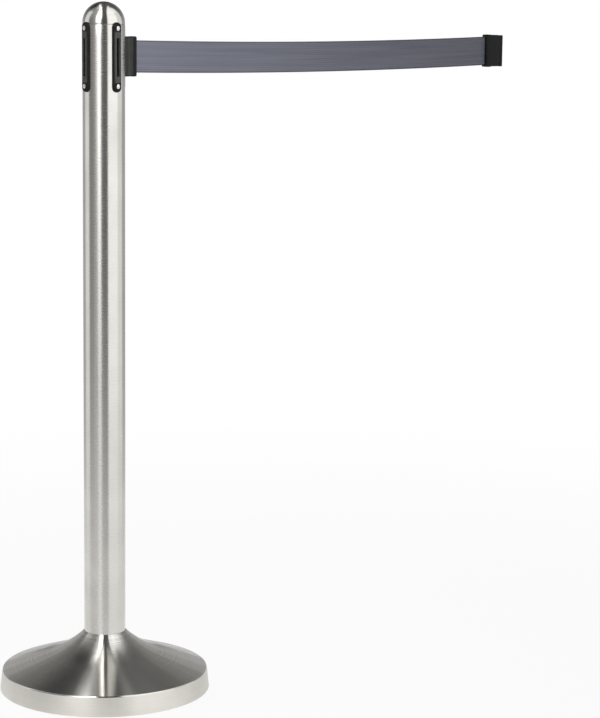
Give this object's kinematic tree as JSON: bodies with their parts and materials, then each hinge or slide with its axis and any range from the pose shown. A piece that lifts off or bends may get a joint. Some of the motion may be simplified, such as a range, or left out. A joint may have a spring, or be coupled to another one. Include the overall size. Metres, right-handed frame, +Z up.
{
  "type": "retractable belt queue pole",
  "caption": "Stainless queue pole with a weighted dish base, a domed head with slotted plates, and a belt that pulls out of the head and ends in a hook clip.",
  "frame": {"origin": "on the floor, at the pole's axis, in the plane of the rubber ring's underside", "axes": "+Z up along the pole, +X along the belt as it leaves the head"},
  "size_m": [1.0048, 0.3206, 1.0462],
  "materials": {
    "brushed_stainless": "fine brush lines running round the tube",
    "spun_stainless": "fine rings left by spinning",
    "cast_iron": "rough cast, painted",
    "rubber": "matte black",
    "plated_steel": "zinc plated",
    "screw_steel": "polished",
    "bronze": "turned",
    "core_plastic": "moulded",
    "reel_plastic": "moulded",
    "spring_steel": "blued",
    "plate_plastic": "satin moulded",
    "black_plastic": "satin moulded",
    "belt_webbing": "woven polyester"
  },
  "bodies": {
    "pole": {"pole_tube": "brushed_stainless", "dome_cap": "brushed_stainless", "base_cover": "spun_stainless", "base_weight": "cast_iron", "floor_ring": "rubber", "tube_plug": "plated_steel", "base_bolt": "plated_steel", "lock_washer": "plated_steel", "base_washer": "plated_steel", "cap_stud": "plated_steel", "core_posts": "plated_steel", "post_screws": "plated_steel", "barrel_screws": "plated_steel", "roller_pins": "plated_steel", "plate_screws": "screw_steel", "lower_bush": "bronze", "upper_bush": "bronze", "core_lower": "core_plastic", "core_upper": "core_plastic", "receiver_socket_opposite": "core_plastic", "receiver_socket_left": "core_plastic", "receiver_socket_right": "core_plastic", "spring_barrel": "core_plastic", "spring_lid": "core_plastic", "roller_carrier": "core_plastic", "power_spring": "spring_steel", "receiver_plate_opposite": "plate_plastic", "receiver_plate_left": "plate_plastic", "receiver_plate_right": "plate_plastic", "outlet_plate": "plate_plastic", "outlet_guide": "black_plastic", "belt_lead": "belt_webbing", "belt": "belt_webbing"},
    "spool": {"spool": "reel_plastic", "spool_shaft": "plated_steel", "belt_winding": "belt_webbing"},
    "roller_a": {"guide_roller_a": "reel_plastic"},
    "roller_b": {"guide_roller_b": "reel_plastic"},
    "belt_clip": {"belt_end": "belt_webbing", "belt_pin": "plated_steel", "clip_shell_front": "black_plastic", "clip_shell_back": "black_plastic", "clip_hook": "black_plastic", "clip_screws": "plated_steel"}
  },
  "joints": [
    {"name": "belt_pull", "type": "slide", "parent": "pole", "child": "belt_clip", "axis": [1, 0, 0], "range_m": [-0.743, 1.2], "deforming": ["belt"]},
    {"name": "spool_turn", "type": "hinge", "parent": "pole", "child": "spool", "pos_m": [0, 0, 0.965], "axis": [0, 0, 1], "range_deg": [-5075, 3144]},
    {"name": "roller_a_turn", "type": "hinge", "parent": "pole", "child": "roller_a", "pos_m": [0.0255, 0.0031, 0.965], "axis": [0, 0, 1], "range_deg": [-17033, 27507]},
    {"name": "roller_b_turn", "type": "hinge", "parent": "pole", "child": "roller_b", "pos_m": [0.0255, -0.0031, 0.965], "axis": [0, 0, 1], "range_deg": [-27507, 17033]}
  ],
  "couplings": [
    {"joint": "spool_turn", "follows": "belt_pull", "rad_per_m": -73.746},
    {"joint": "roller_a_turn", "follows": "belt_pull", "rad_per_m": 400},
    {"joint": "roller_b_turn", "follows": "belt_pull", "rad_per_m": -400}
  ]
}
